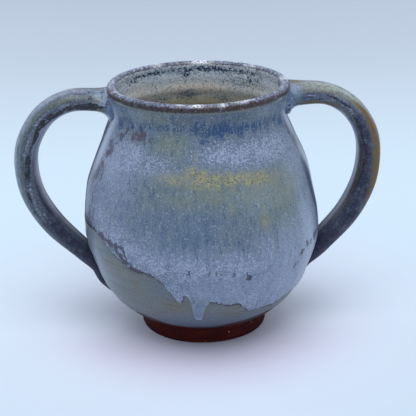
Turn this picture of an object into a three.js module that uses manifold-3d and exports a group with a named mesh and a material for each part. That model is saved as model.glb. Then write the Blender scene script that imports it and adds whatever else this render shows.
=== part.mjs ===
// Two-handled washing cup in wheel-thrown stoneware.
//
// A full, low-slung body narrows to a wide neck with a rounded lip and stands on a bare clay foot
// ring. Two pulled handles spring from the neck just under the lip and come down on the belly, where
// their ends are thumbed out into tails. A coil of soft clay fills the corner under each upper end.
// A thick second glaze lies over the body from the neck down to a ragged line with drips.
//
// Millimetres, +Z up. The origin is the centre of the foot on the table. The handles lie along X,
// and the cup is seen from -Y.
import * as THREE from "three";
import { mergeVertices } from "three/addons/utils/BufferGeometryUtils.js";
import Module from "manifold-3d";

const wasm = await Module();
wasm.setup();

// Thrown form: radii of the outer surface, what the mouth gains on the neck, and the heights that
// stack up to the whole cup
const FOOT_RADIUS = 34;
const BELLY_RADIUS = 63.4;
const NECK_RADIUS = 45.4;
const MOUTH_FLARE = 1.7;
const FOOT_HEIGHT = 9;
const BELLY_RISE = 44;
const SHOULDER_RISE = 69;
const LIP_RISE = 13;

// Clay thicknesses of the body, how far its base sags inside the foot ring, and how high its floor
// curves up into the wall
const WALL = 4.4;
const FLOOR_THICKNESS = 7;
const LIP_THICKNESS = 5.2;
const BASE_SAG = 3;
const FLOOR_CURVE = 9;

// Foot ring: its wall, the slopes of its two sides and the eased edges that touch the table
const FOOT_WALL = 7;
const FOOT_INNER_SLOPE = 2;
const FOOT_OUTER_SLOPE = 0.6;
const FOOT_EASE = 1.2;

// Handles: how far the back of the grip stands out beyond the belly, how far its crown lies below
// the lip, and how far above the foot its lower end lands
const HANDLE_STAND_OFF = 34;
const CROWN_DROP = 2.7;
const LANDING_RISE = 26;
const GRIP_WIDTH = 17.5;
const GRIP_THICKNESS = 12;
const CROWN_THICKNESS = 10.2;
const LANDING_THICKNESS = 9.8;

// Handle ends: the depth that the upper end is set into the neck and how far it droops there, the
// length of each tail down the belly, and the tail's thickness and how deep it is pressed in
const ROOT_DEPTH = 3;
const ROOT_DROOP = 2.6;
const LEFT_TAIL = 16;
const RIGHT_TAIL = 8;
const TAIL_THICKNESS = 5;
const TAIL_SINK = 2;

// What both ends gain in width, and the upper end in thickness below, where they are pressed on,
// and the length over which that gain falls away
const ROOT_SPREAD = 6;
const ROOT_DEPTH_SPREAD = 1.4;
const ROOT_SPREAD_LENGTH = 4;
const LANDING_SPREAD = 5;
const LANDING_SPREAD_LENGTH = 14;

// Luting coil: its thickness against the neck and how far along the handle it reaches
const COIL_THICKNESS = 1.8;
const COIL_REACH = 7;

// Overlay glaze: its thickness, and how far below the lip it starts
const GLAZE_THICKNESS = 0.6;
const GLAZE_DROP = 7;

// Join between two pieces, which slip or glaze fills on the real cup, and the length by which a
// solid runs on past the surface that trims it
const SEAM = 0.3;
const OVERRUN = 2;

// Outline of the wall from the foot to the widest ring: shares of the way out from the foot radius
// to the belly radius, at shares of the way up.
const RISE_SHARES = [
  [0, 0],
  [0.153, 0.045],
  [0.323, 0.114],
  [0.541, 0.25],
  [0.68, 0.386],
  [0.827, 0.591],
  [0.932, 0.79],
];

// Outline from the widest ring to the neck: shares of the way in from the belly radius to the neck
// radius, at shares of the way up.
const SHOULDER_SHARES = [
  [0, 0],
  [0.05, 0.188],
  [0.217, 0.42],
  [0.528, 0.652],
  [0.772, 0.826],
  [0.944, 0.928],
];

// Centre line of a handle from the crown's start to its landing: shares of the way out from the
// wall to the grip, at shares of the height between landing and crown.
const HANDLE_SHARES = [
  [0.133, 0.993],
  [0.487, 0.993],
  [0.77, 0.917],
  [0.95, 0.77],
  [1, 0.62],
  [0.91, 0.447],
  [0.585, 0.265],
  [0.15, 0.1],
  [0, 0],
];

// Lower edge of the overlay glaze across the front, from the left handle round to the right one:
// shares of the half turn between them, at shares of the height from the foot to the neck. Two
// drips run down left of the middle.
const EDGE_SHARES = [
  [0, 0.473],
  [0.139, 0.491],
  [0.172, 0.478],
  [0.211, 0.442],
  [0.283, 0.372],
  [0.344, 0.358],
  [0.367, 0.341],
  [0.389, 0.296],
  [0.417, 0.23],
  [0.43, 0.265],
  [0.444, 0.257],
  [0.451, 0.212],
  [0.46, 0.137],
  [0.469, 0.126],
  [0.477, 0.142],
  [0.483, 0.195],
  [0.493, 0.221],
  [0.512, 0.23],
  [0.556, 0.2],
  [0.586, 0.201],
  [0.628, 0.149],
  [0.711, 0.137],
  [0.778, 0.159],
  [1, 0.204],
];

// Sections of the handle: the part of its thickness that lies on the domed back, how full its sides
// are, and how wide its tail is. The coil wraps the palm side and dives into the back, and keeps a
// share of its thickness at its far end.
const BACK_SHARE = 0.62;
const FULLNESS_SHARE = 0.9;
const TAIL_WIDTH_SHARE = 0.65;
const COIL_BACK_SHARE = -0.8;
const COIL_EDGE_SHARE = 0.25;

// Facets
const TURN_SEGMENTS = 60;
const WALL_ROWS = 16;
const LIP_ROWS = 6;
const FLOOR_ROWS = 4;
const BASE_ROWS = 3;
const STRAP_SIDES = 16;
const STRAP_STEPS = 30;
const COIL_STEPS = 8;
const HALVINGS = 20;
const WELD_SHARE = 1e-5;

const { lerp, clamp, smoothstep } = THREE.MathUtils;

// Heights and centres that follow from the sizes above
const bellyHeight = FOOT_HEIGHT + BELLY_RISE;
const neckHeight = bellyHeight + SHOULDER_RISE;
const cupHeight = neckHeight + LIP_RISE;
const lipRadius = LIP_THICKNESS / 2;
const mouthRadius = NECK_RADIUS + MOUTH_FLARE;
const lipCentre = new THREE.Vector2(mouthRadius - lipRadius, cupHeight - lipRadius);

// Outer wall from the foot to the side of the lip, as one smooth line of (radius, height)
const wallPoints = [
  ...RISE_SHARES.map(([out, up]) => [
    lerp(FOOT_RADIUS, BELLY_RADIUS, out),
    lerp(FOOT_HEIGHT, bellyHeight, up),
  ]),
  ...SHOULDER_SHARES.map(([inward, up]) => [
    lerp(BELLY_RADIUS, NECK_RADIUS, inward),
    lerp(bellyHeight, neckHeight, up),
  ]),
  [NECK_RADIUS, neckHeight],
  [mouthRadius, lipCentre.y],
].map(([radius, height]) => new THREE.Vector2(radius, height));
const outerWall = new THREE.SplineCurve(wallPoints);
const neckShare = (wallPoints.length - 2) / (wallPoints.length - 1);

// Point of the outer wall at a share of its line, moved square to the wall, outwards if positive
function wallPoint(share, offset = 0) {
  const point = outerWall.getPoint(share);
  const along = outerWall.getTangent(share);
  return new THREE.Vector2(point.x + along.y * offset, point.y - along.x * offset);
}

// Points evenly along the outer wall from its foot to a share of its line
function wallLine(offset, rows, end = 1) {
  return Array.from({ length: rows + 1 }, (_, row) => wallPoint((end * row) / rows, offset));
}

// Share of the wall's line at a height, found by halving
function shareAt(height) {
  let [low, high] = [0, 1];
  for (let i = 0; i < HALVINGS; i++) {
    const middle = (low + high) / 2;
    if (outerWall.getPoint(middle).y < height) low = middle;
    else high = middle;
  }
  return low;
}

const wallRadius = (height) => outerWall.getPoint(shareAt(height)).x;

// Half circle from the lip's outer side over the top to its inner side
function lipArc(radius) {
  const arc = new THREE.Path();
  arc.absarc(lipCentre.x, lipCentre.y, radius, 0, Math.PI, false);
  return arc.getPoints(LIP_ROWS);
}

// A closed geometry as a solid that can be joined and cut
function solidOf(geometry) {
  geometry.deleteAttribute("normal");
  geometry.deleteAttribute("uv");
  const merged = mergeVertices(geometry, cupHeight * WELD_SHARE);
  const faces = [];
  for (let i = 0; i < merged.index.count; i += 3) {
    const face = [0, 1, 2].map((corner) => merged.index.getX(i + corner));
    if (new Set(face).size === face.length) faces.push(...face);
  }
  return new wasm.Manifold(
    new wasm.Mesh({
      numProp: 3,
      vertProperties: merged.getAttribute("position").array,
      triVerts: new Uint32Array(faces),
    }),
  );
}

// A solid as a geometry again
function geometryOf(solid) {
  const { vertProperties, triVerts } = solid.getMesh();
  const geometry = new THREE.BufferGeometry();
  geometry.setAttribute("position", new THREE.BufferAttribute(vertProperties, 3));
  geometry.setIndex(new THREE.BufferAttribute(triVerts, 1));
  geometry.computeVertexNormals();
  return geometry;
}

// The largest of the pieces that a cut leaves, without its loose slivers
function largestPiece(solid) {
  return solid.decompose().reduce((a, b) => (b.volume() > a.volume() ? b : a));
}

// A solid turned about the vertical axis from an outline of (radius, height)
function turned(outline) {
  return solidOf(new THREE.LatheGeometry(outline, TURN_SEGMENTS).rotateX(Math.PI / 2));
}

// A solid lofted through rings with equal numbers of points. Its ends are capped, or it closes on
// itself where it runs right round.
function lofted(rings, runsRound = false) {
  const sides = rings[0].length;
  const spans = runsRound ? rings.length : rings.length - 1;
  const corner = (ring, side) => (ring % rings.length) * sides + (side % sides);
  const faces = [];
  for (let ring = 0; ring < spans; ring++) {
    for (let side = 0; side < sides; side++) {
      faces.push(corner(ring, side), corner(ring + 1, side + 1), corner(ring + 1, side));
      faces.push(corner(ring, side), corner(ring, side + 1), corner(ring + 1, side + 1));
    }
  }
  for (let side = 1; side < sides - 1 && !runsRound; side++) {
    faces.push(corner(0, 0), corner(0, side + 1), corner(0, side));
    faces.push(corner(spans, 0), corner(spans, side), corner(spans, side + 1));
  }
  const geometry = new THREE.BufferGeometry().setFromPoints(rings.flat());
  return geometry.setIndex(faces);
}

// Underside of the base inside the foot: a shallow bowl, lowest in the middle
function baseLine(offset) {
  return Array.from({ length: BASE_ROWS }, (_, row) => {
    const out = row / BASE_ROWS;
    return new THREE.Vector2(FOOT_RADIUS * out, FOOT_HEIGHT - offset - BASE_SAG * (1 - out * out));
  });
}

// Thrown body: base, outer wall, rounded lip, then an even wall down to a bowl-shaped floor
function thrownBody() {
  const floorHeight = FOOT_HEIGHT - BASE_SAG + FLOOR_THICKNESS;
  const inner = wallLine(-WALL, WALL_ROWS, neckShare)
    .filter((point) => point.y > floorHeight + FLOOR_CURVE)
    .reverse();
  const side = inner.pop();
  const slope = inner.at(-1).clone().sub(side);
  const bend = new THREE.Vector2(side.x - (slope.x / slope.y) * (side.y - floorHeight), floorHeight);
  const floor = new THREE.QuadraticBezierCurve(side, bend, new THREE.Vector2(0, floorHeight));
  return turned([
    ...baseLine(0),
    ...wallLine(0, WALL_ROWS).slice(0, -1),
    ...lipArc(lipRadius),
    ...inner,
    ...floor.getPoints(FLOOR_ROWS),
  ]);
}

// The body's outer form without its hollow, grown by a seam: it trims what sits on the body
function bodyForm(seam) {
  return turned([
    ...baseLine(seam),
    ...wallLine(seam, WALL_ROWS).slice(0, -1),
    ...lipArc(lipRadius + seam),
    new THREE.Vector2(0, lipCentre.y),
  ]);
}

// Foot ring: bare clay, with a sloping inner side as a turning tool leaves it
function footRing() {
  const inner = FOOT_RADIUS - FOOT_WALL;
  const outer = FOOT_RADIUS - FOOT_OUTER_SLOPE;
  const top = FOOT_HEIGHT + OVERRUN;
  const outline = [
    [inner + FOOT_EASE, 0],
    [outer - FOOT_EASE, 0],
    [outer, FOOT_EASE],
    [FOOT_RADIUS, FOOT_HEIGHT - SEAM],
    [FOOT_RADIUS, top],
    [inner - FOOT_INNER_SLOPE, top],
    [inner, FOOT_EASE],
    [inner + FOOT_EASE, 0],
  ];
  const ring = turned(outline.map(([radius, height]) => new THREE.Vector2(radius, height)));
  return largestPiece(ring.subtract(bodyForm(SEAM)));
}

// Centre line of a handle along +X, from inside the neck over the crown to the tip of its tail
function handleLine(tail) {
  const crown = cupHeight - CROWN_DROP - CROWN_THICKNESS * BACK_SHARE;
  const landing = FOOT_HEIGHT + LANDING_RISE;
  const grip = BELLY_RADIUS + HANDLE_STAND_OFF - GRIP_THICKNESS * BACK_SHARE;
  const root = new THREE.Vector3(wallRadius(crown) - ROOT_DEPTH, 0, crown - ROOT_DROOP);
  const bow = HANDLE_SHARES.map(([out, up]) => {
    const height = lerp(landing, crown, up);
    return new THREE.Vector3(lerp(wallRadius(height), grip, out), 0, height);
  });
  const tip = [1 / 2, 1].map((share) => {
    const height = landing - tail * share;
    return new THREE.Vector3(wallRadius(height) - TAIL_SINK * share, 0, height);
  });
  return new THREE.CatmullRomCurve3([root, ...bow, ...tip]);
}

// Ring of a handle's section at a distance along its centre line. The section is a domed back over
// a flatter palm, and growth(back) thickens it all round, from -1 on the palm to 1 on the back.
function strapRing(line, distance, tail, growth) {
  const length = line.getLength();
  const share = clamp(distance / length, 0, 1);
  const centre = line.getPointAt(share);
  const along = line.getTangentAt(share);
  const out = new THREE.Vector3(-along.z, 0, along.x);
  const root = Math.exp(-Math.max(0, distance - ROOT_DEPTH) / ROOT_SPREAD_LENGTH);
  const left = length - distance;
  const landing = Math.exp(-Math.max(0, left - tail) / LANDING_SPREAD_LENGTH);
  const body = smoothstep(left, 0, tail + GRIP_THICKNESS);
  const width = lerp(GRIP_WIDTH * TAIL_WIDTH_SHARE, GRIP_WIDTH + LANDING_SPREAD * landing, body);
  const upper = lerp(CROWN_THICKNESS, GRIP_THICKNESS, smoothstep(share, 0, 1 / 2));
  const full = lerp(upper, LANDING_THICKNESS, smoothstep(share, 1 / 2, 7 / 8));
  const thickness = lerp(TAIL_THICKNESS, full, body);
  return Array.from({ length: STRAP_SIDES }, (_, side) => {
    const turn = (2 * Math.PI * side) / STRAP_SIDES;
    const [across, back] = [Math.cos(turn), Math.sin(turn)];
    const depth = back > 0 ? thickness * BACK_SHARE
      : thickness * (1 - BACK_SHARE) + root * ROOT_DEPTH_SPREAD;
    const half = (width + root * ROOT_SPREAD) / 2;
    const extra = growth(back);
    const rise = Math.sign(back) * Math.abs(back) ** FULLNESS_SHARE * (depth + extra);
    const reach = Math.sign(across) * Math.abs(across) ** FULLNESS_SHARE * (half + extra);
    return new THREE.Vector3(centre.x + out.x * rise, reach, centre.z + out.z * rise);
  });
}

// A whole handle as a loft, grown by a seam. Its rings crowd towards both ends, where it changes.
function strap(tail, seam) {
  const line = handleLine(tail);
  const rings = [];
  for (let step = 0; step <= STRAP_STEPS; step++) {
    const even = step / STRAP_STEPS;
    const crowded = (1 - Math.cos(Math.PI * even)) / 2;
    const distance = line.getLength() * lerp(even, crowded, 3 / 4);
    rings.push(strapRing(line, distance, tail, () => seam));
  }
  return lofted(rings);
}

// A pulled handle, trimmed to the wall that it is pressed on
function handle(tail) {
  return largestPiece(solidOf(strap(tail, 0)).subtract(bodyForm(SEAM)));
}

// The coil's outer form: thickest against the neck, hollowed towards its far edge, and diving into
// the handle's back
function coilForm(tail, seam) {
  const line = handleLine(tail);
  const rings = [];
  for (let step = 0; step <= COIL_STEPS; step++) {
    const distance = ((ROOT_DEPTH + COIL_REACH) * step) / COIL_STEPS;
    const left = 1 - Math.max(0, distance - ROOT_DEPTH) / COIL_REACH;
    const fall = lerp(COIL_EDGE_SHARE, 1, left ** 2);
    const wrap = (back) => lerp(1, COIL_BACK_SHARE, smoothstep(back, 0, 1));
    const growth = (back) => seam + SEAM + COIL_THICKNESS * Math.min(fall, wrap(back));
    rings.push(strapRing(line, distance, tail, growth));
  }
  return lofted(rings);
}

// Luting coil: soft clay pressed into the corner between the neck and the handle
function lutingCoil(tail) {
  const coil = solidOf(coilForm(tail, 0)).subtract(solidOf(strap(tail, SEAM)));
  return largestPiece(coil.subtract(bodyForm(SEAM)));
}

// Columns of the overlay across the front: its edge's shares, with steps in between no wider or
// steeper than the facets of the wall below
function edgeColumns() {
  return EDGE_SHARES.flatMap(([place, height], i) => {
    if (i === 0) return [[place, height]];
    const [placeBefore, heightBefore] = EDGE_SHARES[i - 1];
    const wide = (place - placeBefore) * (TURN_SEGMENTS / 2);
    const steep = Math.abs(height - heightBefore) * WALL_ROWS;
    const steps = Math.ceil(Math.max(wide, steep));
    return Array.from({ length: steps }, (_, step) => {
      const share = (step + 1) / steps;
      return [lerp(placeBefore, place, share), lerp(heightBefore, height, share)];
    });
  });
}

// Points of a line, each moved along it as far as it must be to lie between two heights
function between(line, low, high) {
  return line.map((point) => {
    const height = clamp(point.y, low, high);
    const next = clamp(line.findIndex(({ y }) => y >= height), 1, line.length - 1);
    const [below, above] = [line[next - 1], line[next]];
    return below.clone().lerp(above, (height - below.y) / (above.y - below.y));
  });
}

// Overlay glaze: a thin skin that follows the wall, with bevelled edges, laid round the handles.
// The back repeats the front.
function overlayGlaze() {
  const top = cupHeight - GLAZE_DROP;
  const inner = wallLine(SEAM, WALL_ROWS);
  const outer = wallLine(SEAM + GLAZE_THICKNESS, WALL_ROWS);
  const ringAt = (angle, edgeShare) => {
    const edge = lerp(FOOT_HEIGHT, neckHeight, edgeShare);
    return [
      ...between(inner, edge, top),
      ...between(outer, edge + GLAZE_THICKNESS, top - GLAZE_THICKNESS).reverse(),
    ].map(({ x, y }) => new THREE.Vector3(x * Math.cos(angle), x * Math.sin(angle), y));
  };
  const columns = edgeColumns();
  const front = columns.map(([place, edge]) => ringAt((place - 1) * Math.PI, edge));
  const back = columns.slice(1, -1).reverse().map(([place, edge]) => ringAt((1 - place) * Math.PI, edge));
  const handles = [[RIGHT_TAIL, 0], [LEFT_TAIL, Math.PI]];
  return largestPiece(
    handles.reduce(
      (glaze, [tail, turn]) => glaze
        .subtract(solidOf(strap(tail, SEAM).rotateZ(turn)))
        .subtract(solidOf(coilForm(tail, SEAM).rotateZ(turn))),
      solidOf(lofted([...front, ...back], true)),
    ),
  );
}

const glazedStoneware = (colour) =>
  new THREE.MeshStandardMaterial({ color: colour, roughness: 0.3, metalness: 0 });

function piece(name, solid, material, turn = 0) {
  const mesh = new THREE.Mesh(geometryOf(solid), material);
  mesh.name = name;
  mesh.rotation.z = turn;
  return mesh;
}

const cup = new THREE.Group();
const bareClay = new THREE.MeshStandardMaterial({ color: 0x3a211c, roughness: 0.85, metalness: 0 });
const handleGlaze = glazedStoneware(0x5b6a70);
cup.add(
  piece("thrown_body", thrownBody(), glazedStoneware(0x7d8478)),
  piece("foot_ring", footRing(), bareClay),
  piece("right_handle", handle(RIGHT_TAIL), handleGlaze),
  piece("left_handle", handle(LEFT_TAIL), handleGlaze, Math.PI),
  piece("right_luting_coil", lutingCoil(RIGHT_TAIL), glazedStoneware(0x6a7d9c)),
  piece("left_luting_coil", lutingCoil(LEFT_TAIL), glazedStoneware(0x6a7d9c), Math.PI),
  piece("overlay_glaze", overlayGlaze(), glazedStoneware(0x74879a)),
);

export default cup;
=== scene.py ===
import functools
import math

import bmesh
import bpy
import numpy as np
from mathutils import Matrix, Vector, noise


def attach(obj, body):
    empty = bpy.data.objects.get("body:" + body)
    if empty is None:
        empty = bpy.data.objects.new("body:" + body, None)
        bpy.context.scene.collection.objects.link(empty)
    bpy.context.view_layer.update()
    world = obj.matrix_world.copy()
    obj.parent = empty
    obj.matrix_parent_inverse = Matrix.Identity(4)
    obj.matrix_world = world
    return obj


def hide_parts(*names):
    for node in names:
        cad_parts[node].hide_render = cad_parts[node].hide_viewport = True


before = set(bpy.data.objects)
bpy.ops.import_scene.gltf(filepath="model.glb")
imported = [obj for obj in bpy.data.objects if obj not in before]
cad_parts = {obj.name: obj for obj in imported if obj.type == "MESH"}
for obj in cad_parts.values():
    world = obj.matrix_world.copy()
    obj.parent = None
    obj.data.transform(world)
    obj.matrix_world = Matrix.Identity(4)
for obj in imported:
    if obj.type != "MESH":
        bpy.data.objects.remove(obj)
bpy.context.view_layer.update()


# Thrown wall.
# One wall of stoneware drawn up on the wheel: base, belly, neck and a rounded lip. Its outside has
# the first coat of glaze, its inside a sandy one, and the lip breaks dark where both run thin.
MM = 0.001
BODY_STEPS = 180
MERGE_GAP = 1e-6
WALL_THICKNESS = 4.4
LIP_CENTRE = (45.2, 132.5)
LIP_RADIUS = 2.5
LIP_STEP = 12

# Above this height a point can be inside the cup, and within this radius the floor's rings fade
INSIDE_FROM = 12.5
FLOOR_RADIUS = 40

# (radius, height) of the outer wall, the inner one and the underside, in millimetres
OUTER_WALL = (
    (36.9, 10.3), (38.6, 11.2), (42.9, 14), (49.2, 20), (53.2, 26), (55.4, 30), (57.3, 35),
    (59.8, 42), (61.9, 49), (62.7, 55), (62.5, 62), (61.5, 70), (58.9, 82), (56.6, 90), (53.7, 98),
    (51.2, 104), (48.9, 110), (46.6, 115.5), (45.3, 119), (45.1, 122), (46.1, 127), (47.7, 132.5),
)
INNER_WALL = (
    (42.7, 132.5), (41.4, 122.2), (42.1, 116.5), (44.2, 111.2), (47.1, 103.8), (51.4, 92.7),
    (55.5, 79.9), (57.9, 67.2), (59, 56.5), (58.4, 49.2), (56.4, 42.4), (53.8, 35.6), (50.4, 28.6),
    (47.6, 24.1), (42, 19.3), (32.2, 15.8), (18.2, 13.7), (0, 13),
)
UNDERSIDE = ((0, 6), (12, 6.4), (24, 7.5), (34, 9.6), (36, 10.7), (36.2, 10.3), (36.5, 10.15))

# (height, how far the wall leans to the right of true there)
LEAN = (
    (0, 0.4), (12, 0.3), (28, 0), (42, 0.15), (52, -0.1), (62, -0.4), (72, -0.6), (82, -0.7),
    (90, -0.45), (98, -0.4), (106, -0.55), (114, -0.75), (122, -0.6), (136, -0.5),
)

# (angle from the front, height) up to which the foot of the wall was left bare of glaze
BARE_LINE = (
    (-43, 18.8), (-36, 16.9), (-31, 15.3), (-26, 14.4), (-16, 14.1), (4, 14.3), (15, 15.9),
    (27, 16.6), (36, 18.3), (40, 18.7),
)
BARE_FADE = 0.5


def smooth_line(points, steps):
    """Points of one smooth line through all the points given."""
    given = [Vector(point) for point in points]
    ends = [2 * given[0] - given[1], *given, 2 * given[-1] - given[-2]]
    line = []
    for a, b, c, d in zip(ends, ends[1:], ends[2:], ends[3:]):
        for step in range(steps):
            t = step / steps
            line.append(
                (2 * b + (c - a) * t + (2 * a - 5 * b + 4 * c - d) * t ** 2
                 + (3 * b - a - 3 * c + d) * t ** 3) / 2
            )
    return [*line, given[-1]]


def between(place, stations):
    """The value at a place, between stations of (place, value)."""
    return np.interp(place, *zip(*stations))


def turned(profile, steps):
    """A skin turned about the upright axis from a profile of (radius, height); its poles close."""
    skin = bmesh.new()
    verts = [skin.verts.new((radius, 0, height)) for radius, height in profile]
    edges = [skin.edges.new(pair) for pair in zip(verts, verts[1:])]
    bmesh.ops.spin(
        skin, geom=verts + edges, cent=(0, 0, 0), axis=(0, 0, 1),
        angle=2 * math.pi, steps=steps, use_merge=True,
    )
    bmesh.ops.remove_doubles(skin, verts=skin.verts, dist=MERGE_GAP)
    return skin


def piece_from(skin, name, finish):
    """A smooth object from a finished skin in millimetres, with its faces pointing outwards."""
    bmesh.ops.scale(skin, vec=(MM, MM, MM), verts=skin.verts)
    bmesh.ops.recalc_face_normals(skin, faces=skin.faces)
    mesh = bpy.data.meshes.new(name)
    skin.to_mesh(mesh)
    skin.free()
    mesh.shade_smooth()
    mesh.materials.append(finish)
    piece = bpy.data.objects.new(name, mesh)
    bpy.context.scene.collection.objects.link(piece)
    return piece


wall_line = np.array([tuple(point) for point in smooth_line(OUTER_WALL, steps=12)])
wall_slopes = np.gradient(wall_line[:, 0], wall_line[:, 1])


def wall_radius(height):
    return np.interp(height, wall_line[:, 1], wall_line[:, 0])


def throwing_marks(height, pitch, depth):
    """Soft rings that the potter's fingers leave, at a height. Their pitch drifts as it rises."""
    return depth * math.sin(2 * math.pi * height / pitch + 1.3 * math.sin(height / 11))


lip = [
    (LIP_CENTRE[0] + LIP_RADIUS * math.cos(math.radians(turn)),
     LIP_CENTRE[1] + LIP_RADIUS * math.sin(math.radians(turn)))
    for turn in range(LIP_STEP, 180, LIP_STEP)
]
outer = [
    (radius + throwing_marks(z, pitch=6.5, depth=0.09), z)
    for radius, z in smooth_line(OUTER_WALL, steps=8)
]
inner = [
    (radius + throwing_marks(z, pitch=7.5, depth=0.22) * min(1, radius / FLOOR_RADIUS), z)
    for radius, z in smooth_line(INNER_WALL, steps=6)
]
wall_skin = turned([*UNDERSIDE, *outer, *lip, *inner], BODY_STEPS)
inside_layer = wall_skin.verts.layers.float.new("inside")
for vert in wall_skin.verts:
    x, y, z = vert.co
    radius = math.hypot(x, y)
    if z > LIP_CENTRE[1]:
        vert[inside_layer] = (LIP_CENTRE[0] + LIP_RADIUS - radius) / (2 * LIP_RADIUS)
    else:
        inner_half = radius < wall_radius(z) - WALL_THICKNESS / 2
        vert[inside_layer] = float(z > INSIDE_FROM and inner_half)
    vert.co.x += between(z, LEAN)


GLOSS_LIGHT = 0.02
DARKEST = 0.004


def colour(red, green, blue):
    """A glaze colour as the eye reads it (0 to 255), less the light that its gloss adds."""
    linear = [((c / 255 + 0.055) / 1.055) ** 2.4 for c in (red, green, blue)]
    return (*[max(DARKEST, c - GLOSS_LIGHT) for c in linear], 1)


class Finish:
    """A procedural finish, built up coat by coat on one shader."""

    def __init__(self, name, roughness, coat=0.0, coat_roughness=0.12):
        self.material = bpy.data.materials.new(name)
        self.material.use_nodes = True
        self.tree = self.material.node_tree
        self.shader = self.tree.nodes["Principled BSDF"]
        inputs = self.shader.inputs
        inputs["Roughness"].default_value = roughness
        inputs["Coat Weight"].default_value = coat
        inputs["Coat Roughness"].default_value = coat_roughness
        self.place = self.node("ShaderNodeTexCoord").outputs["Object"]

    def feed(self, socket, value):
        """Joins a node's output to a socket, or sets the socket to a plain value."""
        if isinstance(value, bpy.types.NodeSocket):
            self.tree.links.new(value, socket)
        else:
            socket.default_value = value

    def node(self, kind, inputs=(), **settings):
        """A node with its settings made and its inputs fed."""
        made = self.tree.nodes.new(kind)
        for key, value in settings.items():
            setattr(made, key, value)
        for socket, value in dict(inputs).items():
            self.feed(made.inputs[socket], value)
        return made

    def maths(self, operation, a, b=0.0, c=0.0):
        return self.node("ShaderNodeMath", {0: a, 1: b, 2: c}, operation=operation).outputs[0]

    def times(self, share, *others):
        """The product of shares."""
        for other in others:
            share = self.maths("MULTIPLY", share, other)
        return share

    def total(self, value, *parts):
        """A value with others added to it, each by itself or as (value, weight)."""
        for part in parts:
            added, weight = part if isinstance(part, tuple) else (part, 1.0)
            value = self.maths("MULTIPLY_ADD", added, weight, value)
        return value

    def rise(self, value, low, high, most=1.0):
        """0 below low, the most above high, and a soft step between."""
        inputs = {"Value": value, "From Min": low, "From Max": high, "To Max": most}
        step = self.node("ShaderNodeMapRange", inputs, interpolation_type="SMOOTHSTEP")
        return step.outputs["Result"]

    def stretched(self, size, stretch, shift, place=None):
        """Places counted in features of about a size in millimetres, stretched along each axis."""
        scale = [1 / (MM * size * axis) for axis in stretch]
        start = (shift, -shift, shift / 2)
        inputs = {"Vector": place or self.place, "Scale": scale, "Location": start}
        return self.node("ShaderNodeMapping", inputs).outputs[0]

    def noise(self, size, detail=3.0, stretch=(1, 1, 1), rough=0.5, shift=0.0, place=None):
        """Soft noise, about 0.25 to 0.75."""
        spots = self.stretched(size, stretch, shift, place)
        inputs = {"Vector": spots, "Scale": 1.0, "Detail": detail, "Roughness": rough}
        return self.node("ShaderNodeTexNoise", inputs).outputs[0]

    def cells(self, size, shift):
        """Distance from the nearest of many scattered points a size apart, about 0 to 1."""
        inputs = {"Vector": self.stretched(size, (1, 1, 1), shift), "Scale": 1.0}
        return self.node("ShaderNodeTexVoronoi", inputs).outputs["Distance"]

    def painted(self, name, *shares):
        """What is stored on the mesh under a name, times any shares given."""
        return self.times(
            self.node("ShaderNodeAttribute", attribute_name=name).outputs["Fac"], *shares
        )

    def height(self):
        """Height above the table in millimetres."""
        split = self.node("ShaderNodeSeparateXYZ", {0: self.place})
        return self.maths("DIVIDE", split.outputs["Z"], MM)

    def over(self, share, below, above):
        """One colour laid over another, where three plain numbers stand for a glaze colour."""
        mix = self.node("ShaderNodeMix", {0: share}, data_type="RGBA")
        for socket, shade in ((6, below), (7, above)):
            is_glaze = isinstance(shade, tuple) and len(shade) == 3
            self.feed(mix.inputs[socket], colour(*shade) if is_glaze else shade)
        return mix.outputs[2]

    def laid(self, tone, *layers):
        """A colour with layers of (share, colour) laid over it in turn."""
        for share, shade in layers:
            tone = self.over(share, tone, shade)
        return tone

    def done(self, tone, relief=None, depth=0.1, roughness=None):
        """Joins colour, roughness and a relief with its depth in millimetres to the shader."""
        inputs = self.shader.inputs
        self.feed(inputs["Base Color"], tone)
        if roughness is not None:
            self.feed(inputs["Roughness"], roughness)
        if relief is not None:
            bump = self.node("ShaderNodeBump", {"Height": relief, "Distance": depth * MM})
            self.feed(bump.inputs["Strength"], 1.0)
            self.feed(inputs["Normal"], bump.outputs["Normal"])
        return self.material


def store(mesh, name, value):
    """Keeps one number for each point of a mesh, where a finish can read it."""
    layer = mesh.attributes.new(name, "FLOAT", "POINT")
    layer.data.foreach_set("value", value.astype(np.float32))


MARK_FALL = 0.7
MARK_POWER = 2.8


def soft_mark(reach):
    """1 in the middle of a mark, a half at its edge, where the reach is 1, and soon 0 outside."""
    return np.exp(-MARK_FALL * reach ** MARK_POWER)


def paint(mesh, across, up, patches, trails=None):
    """Soft masks on a mesh's points, by name. Patches are (across, up, half width, half height,
    strength); trails run upwards through stations of (up, across, half width, strength)."""
    trails = trails or {}
    for name in {**patches, **trails}:
        value = np.zeros(len(across))
        for trail in trails.get(name, ()):
            heights, *columns = zip(*trail)
            centre, half_width, strength = [np.interp(up, heights, column) for column in columns]
            value = np.maximum(value, strength * soft_mark(np.abs((across - centre) / half_width)))
        for centre, height, half_width, half_height, strength in patches.get(name, ()):
            reach = np.hypot((across - centre) / half_width, (up - height) / half_height)
            value = np.maximum(value, strength * soft_mark(reach))
        store(mesh, name, value)


def turn_and_height(mesh, centre_side=-1):
    """Angle round the cup in degrees from the front (or the back) and height in millimetres."""
    spots = np.empty(len(mesh.vertices) * 3, np.float32)
    mesh.vertices.foreach_get("co", spots)
    x, y, z = spots.reshape(-1, 3).T / MM
    return np.degrees(np.arctan2(x - between(z, LEAN), centre_side * y)), z


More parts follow.
